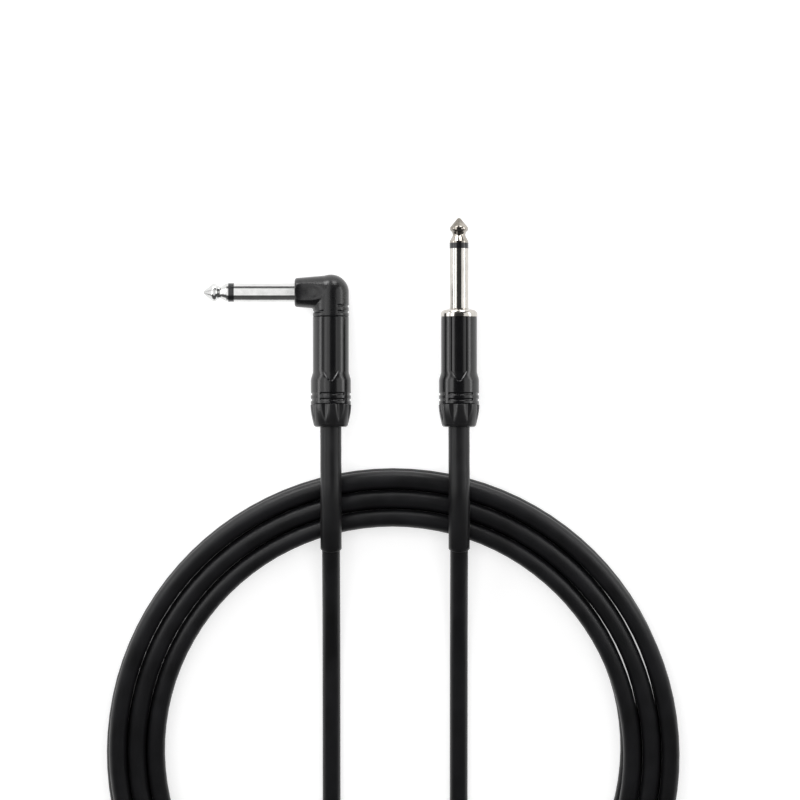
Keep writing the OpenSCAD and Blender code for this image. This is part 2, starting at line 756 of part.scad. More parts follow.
// The straight plug's wires end in the drops of solder on the two tails.
core_end_z = strip_z + core_l;
tip_solder_z = contact_z - 4;
ground_solder_z = contact_z - 5;

module straight_core() {
    color("whitesmoke") along_straight_plug() translate([0, 0, strip_z]) cylinder(r = core_r, h = core_l);
}

module straight_conductor() {
    color(copper) along_straight_plug()
        strand([0, 0, core_end_z], [0, 0, tip_solder_z + solder_d / 2 + 0.4], wire_r);
}

module straight_shield_pigtail() {
    color(copper) along_straight_plug()
        strand([pigtail_x, 0, strip_z], [ground_x - pigtail_r, 0, ground_solder_z + 1], pigtail_r);
}

module straight_solder() {
    color(tin) along_straight_plug() {
        translate([0, (tip_lug_r - 0.4) / 2, tip_solder_z]) sphere(r = solder_d / 2);
        translate([ground_x - 0.2, 0, ground_solder_z]) sphere(r = solder_d / 2);
    }
}

module angled_tip_contact() { at_angled_contact() tip_contact(angled_rear); }
module angled_tip_ring() { at_angled_contact() tip_ring(); }
module angled_inner_tube() { at_angled_contact() inner_tube(angled_rear); }
module angled_sleeve_contact() { at_angled_contact() angled_contact_body(); }
module angled_rear_washer() { at_angled_contact() rear_washer(angled_rear); }
module angled_tip_lug() {
    at_angled_contact() hanging_lug(rod_r, tip_lug_r, -angled_rear - washer_t, angled_tip_tail_l);
}
module angled_ground_lug() {
    at_angled_contact() hanging_lug(ground_ring_r, seat_d / 2, -angled_rear, angled_ground_tail_l);
}
module angled_elbow() { along_angled_plug() elbow(); }
module angled_barrel() { along_angled_plug() barrel(); }
module angled_liner() { along_angled_plug() liner(); }
module angled_chuck() { along_angled_plug() chuck(); }
module angled_clamp_nut() { along_angled_plug() clamp_nut(); }

// The angled plug's wires end on the tails of its lugs, just below their ends: the conductor
// on the tip lug's face, and the pigtail on the end of the ground lug.
ground_tail_z = shaft_z - angled_ground_tail_l;
bend_z = ground_tail_z - 1.4;                // end of the core, where the pigtail bends away
tip_face_x = -nose_l + angled_rear + washer_t + lug_t;
tip_joint = [tip_face_x + wire_r, 0, shaft_z - angled_tip_tail_l + 0.5];
ground_joint = [-nose_l + angled_rear + lug_t + 0.4, 0, ground_tail_z - 0.4];

module angled_core() {
    color("whitesmoke") along_angled_plug()
        translate([0, 0, strip_z]) cylinder(r = core_r, h = bend_z - strip_z);
}

module angled_conductor() {
    color(copper) along_angled_plug()
        strand([0, 0, bend_z], tip_joint, wire_r);
}

module angled_shield_pigtail() {
    bend = [-pigtail_x, 0, bend_z];
    color(copper) along_angled_plug() union() {
        strand([-pigtail_x, 0, strip_z], bend, pigtail_r);
        translate(bend) sphere(r = pigtail_r);
        strand(bend, ground_joint, pigtail_r);
    }
}

module angled_solder() {
    color(tin) along_angled_plug() {
        translate(tip_joint) sphere(r = solder_d / 2);
        translate(ground_joint) sphere(r = solder_d / 2);
    }
}

cable_coil();
cable_lead_angled();
cable_lead_straight();
heatshrink_angled();
heatshrink_straight();
straight_tip_contact();
straight_tip_ring();
straight_inner_tube();
straight_sleeve_contact();
straight_rear_washer();
straight_tip_lug();
straight_ground_lug();
straight_barrel();
straight_liner();
straight_chuck();
straight_clamp_nut();
straight_core();
straight_conductor();
straight_shield_pigtail();
straight_solder();
angled_tip_contact();
angled_tip_ring();
angled_inner_tube();
angled_sleeve_contact();
angled_rear_washer();
angled_tip_lug();
angled_ground_lug();
angled_elbow();
angled_barrel();
angled_liner();
angled_chuck();
angled_clamp_nut();
angled_core();
angled_conductor();
angled_shield_pigtail();
angled_solder();
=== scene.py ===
# %% [markdown]
# # A coiled instrument cable
#
# This notebook dresses a guitar cable: 3.7 m of round black cable that ends in a
# straight and in a right-angle quarter-inch plug. The construction model holds every
# piece at its real size. Here the cable becomes one unbroken curve, the black shells get
# their soft moulded edges, and every surface gets the finish of the real thing.

# %% Load the construction model
import json
import math

import bmesh
import bpy
from mathutils import Matrix, Vector, noise


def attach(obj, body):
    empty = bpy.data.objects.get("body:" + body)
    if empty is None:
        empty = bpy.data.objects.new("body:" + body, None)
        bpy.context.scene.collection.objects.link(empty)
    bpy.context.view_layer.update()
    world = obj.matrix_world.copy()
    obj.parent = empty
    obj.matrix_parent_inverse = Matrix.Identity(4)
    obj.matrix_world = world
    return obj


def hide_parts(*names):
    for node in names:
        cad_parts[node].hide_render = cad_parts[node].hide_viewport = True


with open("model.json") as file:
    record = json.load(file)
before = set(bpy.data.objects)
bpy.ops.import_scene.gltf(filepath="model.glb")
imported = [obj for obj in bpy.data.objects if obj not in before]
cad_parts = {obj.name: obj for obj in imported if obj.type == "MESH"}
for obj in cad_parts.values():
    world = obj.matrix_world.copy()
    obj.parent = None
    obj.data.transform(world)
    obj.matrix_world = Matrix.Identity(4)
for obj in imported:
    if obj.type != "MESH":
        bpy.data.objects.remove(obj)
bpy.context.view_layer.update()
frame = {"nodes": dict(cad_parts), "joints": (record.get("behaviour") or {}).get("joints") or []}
nodes = frame["nodes"]
MM = 0.001
print(len(nodes), "pieces loaded")

# %% [markdown]
# ## Where the camera stands
#
# The cable lies on a table and the camera looks down at it from three metres away. Its
# long lens keeps the plugs almost free of perspective. The focal length follows from the
# distance and from the width that the picture has to hold. The plugs lie with their tips
# down, so the camera leans a few degrees beyond the tips and sees them square from above.

# %% The camera
SENSOR = 36.0                    # width of the camera's sensor, in its own millimetres
PICTURE_WIDTH = 271.2 * MM       # width of what the camera sees
CAMERA_DISTANCE = 3.0
CAMERA_LEAN = math.radians(7)    # from straight down
PICTURE_MIDDLE = Vector((19.86 * MM, -26.1 * MM, 8 * MM))   # at the height of the plugs

camera_data = bpy.data.cameras.new("camera")
camera_data.sensor_width = SENSOR
camera_data.lens = SENSOR * CAMERA_DISTANCE / PICTURE_WIDTH
camera = bpy.data.objects.new("camera", camera_data)
towards_camera = Vector((0, math.sin(CAMERA_LEAN), math.cos(CAMERA_LEAN)))
camera.location = PICTURE_MIDDLE + towards_camera * CAMERA_DISTANCE
camera.rotation_euler = (-CAMERA_LEAN, 0, 0)
bpy.context.scene.collection.objects.link(camera)
bpy.context.scene.camera = camera
bpy.context.scene.view_settings.view_transform = "Standard"
print("lens", round(camera_data.lens), "mm")

# %% [markdown]
# ## Where the plugs lie
#
# Each plug lies on its tip and on the crest of the coil, so its axis is tilted by some
# nine degrees. The joint of its clamp nut knows that axis: it turns about it, and it
# points backwards. A frame along each plug has its origin at the rear face of the nut,
# +z towards the plug's front, and the label side at -y.

# %% A frame along each plug
joints = {joint["name"]: joint for joint in frame["joints"]}


def plug_frame(joint_name):
    """Matrix that takes a plug's own axes to the model's."""
    joint = joints[joint_name]
    ahead = -Vector(joint["axis"])
    side = Vector((1, 0, 0))
    axes = Matrix((side, ahead.cross(side), ahead)).transposed()
    return Matrix.Translation(Vector(joint["pos_m"])) @ axes.to_4x4()


PLUGS = {"straight": plug_frame("straight_nut_turn"), "angled": plug_frame("angled_nut_turn")}
for name, place in PLUGS.items():
    print(name, "plug starts at", [round(x / MM, 2) for x in place.translation])

# %% [markdown]
# ## The route of the cable
#
# A cable is a fixed length of something springy, so its line has to be smooth. From
# behind each plug it passes over the coil's crest, comes down to the table inside the
# coil and swings round into it. The points of these two stretches are given in
# millimetres, and a Catmull-Rom spline goes through them.

# %% Listed points behind each plug
STRIP_Z = 21.0                   # where the jacket ends inside a plug
FIRST_POINTS = [STRIP_Z, 7.7, 0.0, -6.0, -12.0]   # places along the plug's own axis
ANGLED_POINTS = [
    (-3.5, -51, 15.9), (-3.5, -57, 16.8), (-3.5, -63, 17), (-3.5, -69, 16.7),
    (-3.5, -76, 15.3), (-3.5, -84, 12.6), (-3.5, -92, 9.3), (-3.5, -100, 6.3),
    (-3.5, -108, 4.2), (-3.5, -116, 3.2), (-3.5, -128, 3.05), (-3.5, -144, 3.05),
    (-3.5, -160, 3.05), (-3.5, -174, 3.05), (-3.5, -186, 3.05), (-2.5, -195.5, 3.05),
    (1.5, -204.5, 3.05), (7.5, -212, 3.05), (15, -218, 3.05), (24, -221.5, 3.05),
    (34, -223, 3.05), (43.5, -221.5, 3.05),
]
STRAIGHT_POINTS = [
    (39.9, -51, 15.9), (39.9, -57, 16.8), (39.9, -63, 17), (39.9, -69, 16.7),
    (39.9, -76, 15.3), (39.9, -84, 12.6), (39.9, -92, 9.3), (39.9, -100, 6.3),
    (39.9, -108, 4.2), (39.9, -116, 3.2), (39.9, -128, 3.05), (39.9, -144, 3.05),
    (39.9, -160, 3.05), (39.9, -173, 3.05), (39.9, -185, 3.1), (38.5, -194.5, 3.8),
    (34.5, -204, 5.6), (28.5, -212, 8), (23, -216.5, 9.2), (17.5, -219.5, 9.7),
    (10, -222.5, 9.7), (1.5, -223, 9.6), (-7.5, -222, 9.6),
]
SLEEVE_POINTS = len(FIRST_POINTS) + 5        # the heat-shrink sleeve ends at this point
print(len(ANGLED_POINTS), "and", len(STRAIGHT_POINTS), "points lead from the plugs to the coil")

# %% The route behind a plug


def behind_plug(plug, points):
    """The route from inside a plug to the coil, in metres."""
    along = [PLUGS[plug] @ Vector((0, 0, z * MM)) for z in FIRST_POINTS]
    return along + [Vector(p) * MM for p in points]


angled_route = behind_plug("angled", ANGLED_POINTS)
straight_route = behind_plug("straight", STRAIGHT_POINTS)
print("the routes end at", [round(x / MM, 1) for x in angled_route[-1]], "and",
      [round(x / MM, 1) for x in straight_route[-1]])

# %% [markdown]
# ## The coil
#
# Somebody who coils a cable lays one turn beside the other and then comes back on top.
# So the lower layer spirals out over three turns, the cable climbs in half a turn, and
# the upper layer spirals in again. One formula gives the point at any angle: a spiral
# whose radius grows by one pitch a turn, up to the angle where it is mirrored. A formula
# is also the surest way to keep the turns from running into one another.

# %% The coil's sizes
CABLE_D = 6.1
TURN_GAP = 0.45                  # between one turn and the next
PITCH = CABLE_D + TURN_GAP
COIL_R = 87.6                    # radius of the middle column at the crown
COIL_COLUMNS = 3
LAYER_SHIFT = 1.2                # each layer's middle is shifted, so that they meet at the crown
EXIT_ANGLE = 60                  # the routes join the coil this far below its sides, in degrees
COIL_BACK = 112.6                # from the rear of the plugs to the coil's middle
COIL_SIDE = 21.0                 # from the angled plug's axis to the coil's middle
MIRROR_AT = 360 * COIL_COLUMNS - 90          # where the climb is half done and the spiral turns back
FIRST_ANGLE = -EXIT_ANGLE
LAST_ANGLE = 2 * MIRROR_AT - FIRST_ANGLE
ANGLE_STEP = 15

coil_x = PLUGS["angled"].translation.x / MM + COIL_SIDE
coil_y = PLUGS["angled"].translation.y / MM - COIL_BACK
print("coil's middle at", round(coil_x, 2), round(coil_y, 2), "mm")

# %% The coil's formula


def climb(angle):
    """0 in the lower layer, 1 in the upper one, and a smooth rise between them."""
    share = min(max((angle - MIRROR_AT + 90) / 180, 0), 1)
    return (1 - math.cos(math.pi * share)) / 2


def coil_point(angle):
    """The cable's middle at an angle in degrees, which counts on from turn to turn."""
    turned = angle - 90 if angle < MIRROR_AT else 2 * MIRROR_AT - angle - 90
    shift = LAYER_SHIFT * (1 - 2 * climb(angle))
    a = math.radians(angle)
    r = COIL_R - (COIL_COLUMNS - 1) / 2 * PITCH + PITCH * turned / 360 + shift * math.cos(a)
    x, y = coil_x + r * math.cos(a), coil_y + r * math.sin(a)
    return Vector((x, y, CABLE_D / 2 + PITCH * climb(angle))) * MM


coil = [coil_point(a) for a in range(FIRST_ANGLE, LAST_ANGLE + 1, ANGLE_STEP)]
print(len(coil), "points in the coil")

# %% [markdown]
# ## One unbroken line
#
# The two listed stretches and the coil are joined into one list of points, from the
# angled plug to the straight one, and a Catmull-Rom spline is laid through it. It passes
# through every point, so a point can be set where the cable has to lie. The finished
# line's points are at most about 6 mm apart, close enough for bends as wide as these.

# %% Join the stretches
CABLE_PIECES = 4                 # pieces of the finished line between two points


def smooth(points, pieces):
    """Catmull-Rom spline through points, with the given number of pieces between two of them."""
    ends = [2 * points[0] - points[1], *points, 2 * points[-1] - points[-2]]
    line = []
    for a, b, c, d in zip(ends, ends[1:], ends[2:], ends[3:]):
        for i in range(pieces):
            t = i / pieces
            line.append(((2 * b) + (c - a) * t + (2 * a - 5 * b + 4 * c - d) * t * t
                         + (3 * b - 3 * c + d - a) * t ** 3) / 2)
    return line + [points[-1]]


centreline = smooth(angled_route + coil + straight_route[::-1], CABLE_PIECES)

# %% [markdown]
# ## The cable itself
#
# A curve with a round bevel is the natural way to draw a cable: its own line is the
# centreline, and Blender sweeps the circle along it. The bevel is one metre deep and each
# point's radius scales it down, because Blender measures a curve's box by its points'
# radii. It rides on the root body, and it stands for the three plain tubes of the
# construction model.

# %% The cable's curve
CABLE_BEVEL = 8                  # Blender gives the circle four sides more than twice this


def piece_of_curve(name, line, radius):
    """A round tube along a line of points."""
    data = bpy.data.curves.new(name, "CURVE")
    data.dimensions = "3D"
    data.bevel_depth = 1.0
    data.bevel_resolution = CABLE_BEVEL
    data.use_fill_caps = True
    spline = data.splines.new("POLY")
    spline.points.add(len(line) - 1)
    for point, place in zip(spline.points, line):
        point.co = (*place, 1)
        point.radius = radius
    made = bpy.data.objects.new(name, data)
    bpy.context.scene.collection.objects.link(made)
    return made


cable = piece_of_curve("cable", centreline, CABLE_D / 2 * MM)
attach(cable, "root")
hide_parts("cable_coil", "cable_lead_angled", "cable_lead_straight")
print("cable", CABLE_D, "mm across")

# %% [markdown]
# ## Shells with carved skins
#
# The black shells are bodies of revolution whose skin is carved: flutes, grooves and a
# sunk label panel. Booleans would leave knife edges. Here a closed outline in the plane
# (radius, z) is turned round the plug's axis on a fine grid, and a function changes the
# radius at each place. Its steps are blended over a tenth of a millimetre or two, which
# is the small round that a mould or a tumbler leaves on every edge.

# %% Turn an outline with a carved skin
SKIN_STEP = 0.14                 # spacing of a carved skin's rows of points


def turned_shell(name, outline, sides, carve, place):
    """Closed shell of revolution. outline is a list of (radius, z, carved) in millimetres."""
    mesh = bpy.data.meshes.new(name)
    made = bmesh.new()
    rows = []
    for radius, z, carved in outline:
        row = []
        for k in range(sides):
            angle = 2 * math.pi * k / sides
            r = carve(angle, z, radius) if carved else radius
            row.append(made.verts.new(Vector((r * math.cos(angle), r * math.sin(angle), z)) * MM))
        rows.append(row)
    for lower, upper in zip(rows, rows[1:] + rows[:1]):
        for k in range(sides):
            after = (k + 1) % sides
            made.faces.new((lower[k], lower[after], upper[after], upper[k]))
    bmesh.ops.recalc_face_normals(made, faces=made.faces)
    made.transform(place)
    made.to_mesh(mesh)
    made.free()
    mesh.shade_smooth()
    shell = bpy.data.objects.new(name, mesh)
    bpy.context.scene.collection.objects.link(shell)
    print(name, len(mesh.polygons), "faces")
    return shell


# %% Soft steps and outlines


def blend_step(value, edge, width):
    """0 below the edge and 1 above it, blended smoothly over the width."""
    t = min(max((value - edge) / width + 0.5, 0), 1)
    return t * t * (3 - 2 * t)


def soft_min(a, b, width):
    """The smaller of two radii, rounded off where they meet."""
    h = max(width - abs(a - b), 0) / width
    return min(a, b) - h * h * width / 4


def between(start, end, step):
    """Evenly spaced values from start to end, about a step apart."""
    count = max(1, round(abs(end - start) / step))
    return [start + (end - start) * i / count for i in range(count + 1)]


def rounded_corner(radius, z, turn, start, steps=4):
    """Quarter circle in the outline round (radius, z), from the angle start by 90 degrees."""
    return [(radius + turn * math.cos(math.radians(start + 90 * i / steps)),
             z + turn * math.sin(math.radians(start + 90 * i / steps)), False)
            for i in range(steps + 1)]


print("halfway up a soft step:", blend_step(0, 0, 1))

# %% [markdown]
# ## The barrel
#
# The barrel is a turned brass shell with a gripped, thicker rear. Two fine grooves run
# round it there, in four arcs with lands between them. On its upper side lies the label
# panel, a shallow pocket with a pointed end. The real one carries print: here the panel
# is left bare.

# %% Barrel: sizes
BARREL_Z = 7.7                   # rear edge of the barrel
FRONT_Z = 37.3
BODY_R = 6.1
FLARE_R = 6.8                    # the gripped rear
FLARE_L = 7.8
RAMP_L = 3.5                     # from the gripped rear down to the body
GROOVES = (BARREL_Z + 1.4, BARREL_Z + 3.35)  # the grooves' middles
GROOVE_W = 0.7
GROOVE_DEPTH = 0.35
LAND = math.radians(16)          # width of the lands between the grooves' arcs
GROOVE_TURN = math.radians(6)    # the arcs are turned this far to the right of the label
PANEL_W = 5.4
PANEL_DEPTH = 0.35
PANEL_POINT = 3.4                # length over which the panel narrows to its pointed end
PANEL_TIP = 0.2                  # the point's width, as a share of the panel's
PANEL_END = BARREL_Z + FLARE_L - 0.1
EDGE = 0.16                      # blending width of the carved edges
FRONT_BORE_R = 4.9
REAR_BORE_R = 5.35
SHOULDER_Z = 19.0                # step between the two bores
BARREL_EDGE = 0.2                # round of the shell's front and rear edges
BARREL_SIDES = 240
print("barrel", round(FRONT_Z - BARREL_Z, 2), "mm long,", 2 * FLARE_R, "mm across its rear")

# %% Barrel: skin


def barrel_radius(z):
    ramp = min(max((z - BARREL_Z - FLARE_L) / RAMP_L, 0), 1)
    return BODY_R + (FLARE_R - BODY_R) * (1 + math.cos(math.pi * ramp)) / 2


def groove_at(angle, z, places, depth):
    """Depth of the interrupted grooves at a place of the skin."""
    quarter = math.pi / 2
    from_land = abs((angle - GROOVE_TURN) % quarter - quarter / 2)
    open_here = blend_step(from_land * FLARE_R, LAND / 2 * FLARE_R, EDGE * 2)
    nearest = min(abs(z - place) for place in places)
    return depth * open_here * blend_step(GROOVE_W / 2 - nearest, 0, EDGE)


def panel_at(angle, z):
    """Depth of the label panel, which faces -y."""
    across = BODY_R * math.cos(angle)
    if math.sin(angle) > 0:
        return 0.0
    narrow = PANEL_TIP + (1 - PANEL_TIP) * min(max((z - PANEL_END) / PANEL_POINT, 0), 1)
    inside = PANEL_W / 2 * narrow - abs(across)
    return PANEL_DEPTH * blend_step(inside, 0, EDGE) * blend_step(z, PANEL_END, EDGE)


def barrel_skin(angle, z, radius):
    return radius - max(groove_at(angle, z, GROOVES, GROOVE_DEPTH), panel_at(angle, z))


print("panel", PANEL_W, "mm wide and", PANEL_DEPTH, "mm deep")

# %% Barrel: outline and both shells


def barrel_outline():
    """The skin from the rear edge to the front, and back through the stepped bore."""
    edge = BARREL_EDGE
    skin = [(barrel_radius(z), z, True) for z in between(BARREL_Z + edge, FRONT_Z - edge, SKIN_STEP)]
    front = rounded_corner(BODY_R - edge, FRONT_Z - edge, edge, 0)
    rear = rounded_corner(FLARE_R - edge, BARREL_Z + edge, edge, -90)
    bore = [(FRONT_BORE_R, FRONT_Z, False), (FRONT_BORE_R, SHOULDER_Z, False),
            (REAR_BORE_R, SHOULDER_Z, False), (REAR_BORE_R, BARREL_Z, False)]
    return rear[:-1] + skin + [(r, z, True) for r, z, _ in front[1:]] + bore


for plug, place in PLUGS.items():
    barrel = turned_shell(plug + "_shell", barrel_outline(), BARREL_SIDES, barrel_skin, place)
    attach(barrel, "root")
    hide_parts(plug + "_barrel")

# %% [markdown]
# ## The clamp nut
#
# Turning the nut pushes the chuck's fingers down on the sleeve. It is moulded nylon, and
# eight V flutes give the fingers a hold. A straight V that is cut parallel to the axis of
# a tapering body runs out in a point: that is why each flute shows as a triangle.

# %% Nut: sizes
NUT_R = 6.9
NUT_REAR_R = 5.85
NUT_L = 7.6
NUT_EDGE = 1.0                   # round of the rear edge
NUT_LIP = 0.2                    # round of the front edge
NUT_BULGE = 1.8                  # power of the taper: 1 would be a cone
FLUTES = 8
FLUTE_R = NUT_R - 0.85           # how far from the axis the V's bottom lies
FLUTE_SLOPE = 0.5                # the V's depth for its half width
FLUTE_TURN = math.radians(5)     # the flutes are turned this far to the right of the label
FLUTE_BLEND = 0.3                # blending width of their edges
THREAD_R = 5.3
THREAD_Z = 14.7                  # front end of the threaded part
NUT_BORE_R = 4.65
REAR_HOLE_R = 3.8
SEAT_START = 2.0                 # the cone that presses on the chuck's fingers
SEAT_END = 3.5
NUT_SIDES = 192
print("nut", NUT_L, "mm long,", 2 * NUT_R, "mm across, with", FLUTES, "flutes")

# %% Nut: skin


def nut_radius(z):
    share = (NUT_L - z) / (NUT_L - NUT_EDGE)
    return NUT_R - (NUT_R - NUT_REAR_R) * max(share, 0) ** NUT_BULGE


def nut_skin(angle, z, radius):
    """Eight V flutes, two of which stand beside the label side's middle."""
    step = 2 * math.pi / FLUTES
    off = abs((angle - FLUTE_TURN + math.pi / 2) % step - step / 2)
    flute = FLUTE_R / (math.cos(off) - math.sin(off) * FLUTE_SLOPE)
    return soft_min(radius, flute, FLUTE_BLEND)


print("a flute is", round(NUT_R - FLUTE_R, 2), "mm deep at the nut's front")

# %% Nut: outline and both shells


def nut_outline():
    """The skin from the rear edge to the front, and back through the thread and the cone."""
    lip = NUT_LIP
    rear = rounded_corner(NUT_REAR_R - NUT_EDGE, NUT_EDGE, NUT_EDGE, -90, 8)
    skin = [(nut_radius(z), z, True) for z in between(NUT_EDGE, NUT_L - lip, SKIN_STEP)]
    front = [(NUT_R - lip * (1 - math.cos(a)), NUT_L - lip + lip * math.sin(a), True)
             for a in between(0.3, math.pi / 2, 0.4)]
    thread = [(THREAD_R, NUT_L, False), (THREAD_R, THREAD_Z, False), (NUT_BORE_R, THREAD_Z, False),
              (NUT_BORE_R, SEAT_END, False), (REAR_HOLE_R, SEAT_START, False), (REAR_HOLE_R, 0, False)]
    return [(r, z, True) for r, z, _ in rear] + skin[1:] + front + thread


for plug, place in PLUGS.items():
    nut = turned_shell(plug + "_nut_shell", nut_outline(), NUT_SIDES, nut_skin, place)
    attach(nut, plug + "_clamp_nut")
    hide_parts(plug + "_clamp_nut")

# %% [markdown]
# ## The elbow
#
# The angled plug's elbow is a casting: a nose that grows out of a domed collar, with a
# thumb scoop in its side. A casting has no sharp inner corner, so the construction
# model's crisp elbow is copied, turned into fine voxels and smoothed. That rounds the
# crease between nose and dome as a mould maker's fillet does. Then the thumb's soft oval
# dish is pressed into the nose's upper side.

# %% Melt the elbow's edges
ELBOW_VOXEL = 0.16 * MM
ELBOW_ROUNDS = 8                 # times the smoothing is repeated
WELD = 0.001 * MM                # points closer than this become one


def melted_copy(name, node_name, voxel, rounds):
    """Copy of a construction piece with its edges rounded off, as a new mesh."""
    mesh = nodes[node_name].data.copy()
    mesh.name = name
    made = bpy.data.objects.new(name, mesh)
    bpy.context.scene.collection.objects.link(made)
    weld = bmesh.new()
    weld.from_mesh(mesh)
    bmesh.ops.remove_doubles(weld, verts=weld.verts, dist=WELD)
    weld.to_mesh(mesh)
    weld.free()
    remesh = made.modifiers.new("voxels", "REMESH")
    remesh.mode = "VOXEL"
    remesh.voxel_size = voxel
    soften = made.modifiers.new("soften", "SMOOTH")
    soften.iterations = rounds
    soften.factor = 0.5
    depsgraph = bpy.context.evaluated_depsgraph_get()
    baked = bpy.data.meshes.new_from_object(made.evaluated_get(depsgraph))
    made.modifiers.clear()
    made.data = baked
    made.data.shade_smooth()
    return made


elbow = melted_copy("elbow_casting", "angled_elbow", ELBOW_VOXEL, ELBOW_ROUNDS)
print("elbow", len(elbow.data.polygons), "faces")

# %% Press the thumb's dish
SHAFT_Z = 45.55                  # height of the nose's axis in the plug's frame
DISH_START = -1.0                # the dish lies on the nose's side of this place
DISH_MIDDLE = 8.5                # its lowest place, from the plug's axis
DISH_FLOOR = 4.0                 # how far from the nose's axis its lowest place lies
DISH_LONG = 20                   # it rises by its offset squared over these: towards the collar,
DISH_LONG_OUT = 60               # towards the nose's face
DISH_WIDE = 12                   # and across
DISH_RIM = 0.5                   # blending width of its rim


def press_dish(casting):
    """Sinks the soft oval dish for the thumb into the nose, on the label side."""
    to_plug = PLUGS["angled"].inverted()
    for vertex in casting.data.vertices:
        x, y, z = (to_plug @ vertex.co) / MM
        if x > DISH_START or y > 0:
            continue
        along = DISH_LONG if x > -DISH_MIDDLE else DISH_LONG_OUT
        bottom = DISH_FLOOR + (x + DISH_MIDDLE) ** 2 / along + (z - SHAFT_Z) ** 2 / DISH_WIDE
        vertex.co = PLUGS["angled"] @ (Vector((x, -soft_min(-y, bottom, DISH_RIM), z)) * MM)


press_dish(elbow)
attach(elbow, "root")
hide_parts("angled_elbow")
print("dish", DISH_FLOOR, "mm from the nose's axis at its lowest place")

# %% [markdown]
# ## Heat-shrink sleeves
#
# A sleeve of polyolefin is slipped over the cable and shrunk with hot air. It grips the
# jacket so tightly that it shows its faint waves, and its cut end is a thin, slightly
# rolled lip. A second bevelled curve could draw it, but only a mesh can take the waves
# and the lips. So it is a tube of points along the same line as the cable, with its own
# inner wall.

# %% Sleeve: sizes and waves
SLEEVE_R = 3.6
SLEEVE_BORE_R = 3.0
SLEEVE_SIDES = 64
SLEEVE_PIECES = 6                # pieces of a sleeve's line between two points of the route
SLEEVE_LIP = 0.25                # length over which the cut end is rounded
WAVE_HEIGHT = 0.035
WAVE_LENGTH = 5                  # along the sleeve
WAVES_ROUND = 1.3                # a larger number gives more waves round the sleeve


def sleeve_wave(angle, along):
    """Faint unevenness of a shrunk sleeve, in millimetres."""
    place = Vector((math.cos(angle) * WAVES_ROUND, math.sin(angle) * WAVES_ROUND, along / WAVE_LENGTH))
    return WAVE_HEIGHT * noise.noise(place)


print("sleeve", 2 * SLEEVE_R, "mm across")

# %% Sleeve: a tube along a line


def sleeve_along(name, line):
    """Tube with an inner wall and rounded ends, along a line of points in metres."""
    made = bmesh.new()
    rows = []
    along = 0.0
    stations = []
    for i, place in enumerate(line):
        ahead = (line[min(i + 1, len(line) - 1)] - line[max(i - 1, 0)]).normalized()
        along += (place - line[i - 1]).length / MM if i else 0
        stations.append((place, ahead, along))
    lip_r = SLEEVE_R - SLEEVE_LIP
    outer = [(*stations[0], lip_r)] + [(*s, SLEEVE_R) for s in stations[1:-1]] + [(*stations[-1], lip_r)]
    inner = [(*s, SLEEVE_BORE_R) for s in reversed(stations)]
    for place, ahead, at, radius in outer + inner:
        side = ahead.cross(Vector((0, 0, 1))).normalized()
        up = side.cross(ahead)
        row = []
        for k in range(SLEEVE_SIDES):
            angle = 2 * math.pi * k / SLEEVE_SIDES
            r = radius + (sleeve_wave(angle, at) if radius > SLEEVE_BORE_R else 0)
            row.append(made.verts.new(place + (side * math.cos(angle) + up * math.sin(angle)) * r * MM))
        rows.append(row)
    for first, second in zip(rows, rows[1:] + rows[:1]):
        for k in range(SLEEVE_SIDES):
            after = (k + 1) % SLEEVE_SIDES
            made.faces.new((first[k], first[after], second[after], second[k]))
    bmesh.ops.recalc_face_normals(made, faces=made.faces)
    mesh = bpy.data.meshes.new(name)
    made.to_mesh(mesh)
    made.free()
    mesh.shade_smooth()
    sleeve = bpy.data.objects.new(name, mesh)
    bpy.context.scene.collection.objects.link(sleeve)
    print(name, round(along, 1), "mm long")
    return sleeve


# %% Sleeve: both of them


def sleeve_line(route):
    """The route's first points, smoothed, with a close pair of stations at each end for the lip."""
    line = smooth(route[:SLEEVE_POINTS + 1], SLEEVE_PIECES)[:SLEEVE_PIECES * (SLEEVE_POINTS - 1) + 1]
    lip = SLEEVE_LIP * MM
    start, end = line[0], line[-1]
    return [start, start + (line[1] - start).normalized() * lip, *line[1:-1],
            end + (line[-2] - end).normalized() * lip, end]


for plug, route in (("angled", angled_route), ("straight", straight_route)):
    sleeve = sleeve_along(plug + "_sleeve", sleeve_line(route))
    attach(sleeve, "root")
    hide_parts("heatshrink_" + plug)

# %% [markdown]
# ## The cable is one cord
#
# The cable leaves the angled plug at the rear of its nut, and it ends in the straight
# plug. Both sleeves sit on it.

# %% [markdown]
# ## Helpers for the finishes
#
# Colours are written as a paint shop would, in sRGB hex, and one function turns them
# into the linear values that Blender computes with. Every pattern is laid out in
# millimetres: the pieces lie in the model's own axes, so object coordinates divided by a
# real size give a pattern of that size.

# %% Colour and nodes


def linear(hex_colour):
    """Linear RGBA of an sRGB hex colour."""
    def channel(text):
        value = int(text, 16) / 255
        return value / 12.92 if value <= 0.04045 else ((value + 0.055) / 1.055) ** 2.4
    return (*(channel(hex_colour[i:i + 2]) for i in (1, 3, 5)), 1.0)


def add(tree, kind, inputs=(), **settings):
    """Adds one shader node. inputs are values or sockets for its inputs, by name or number."""
    made = tree.nodes.new(kind)
    for key, value in settings.items():
        setattr(made, key, value)
    for key, value in dict(inputs).items():
        if isinstance(value, bpy.types.NodeSocket):
            tree.links.new(value, made.inputs[key])
        else:
            made.inputs[key].default_value = value
    return made


def new_material(name):
    """An empty material, its node tree and its output node."""
    material = bpy.data.materials.new(name)
    material.use_nodes = True
    material.node_tree.nodes.clear()
    return material, material.node_tree, add(material.node_tree, "ShaderNodeOutputMaterial")


print("middle grey is", [round(x, 3) for x in linear("#808080")])

# %% Patterns of a real size
NOISE_LOW, NOISE_HIGH = 0.3, 0.7     # nearly all of Blender's noise lies between these


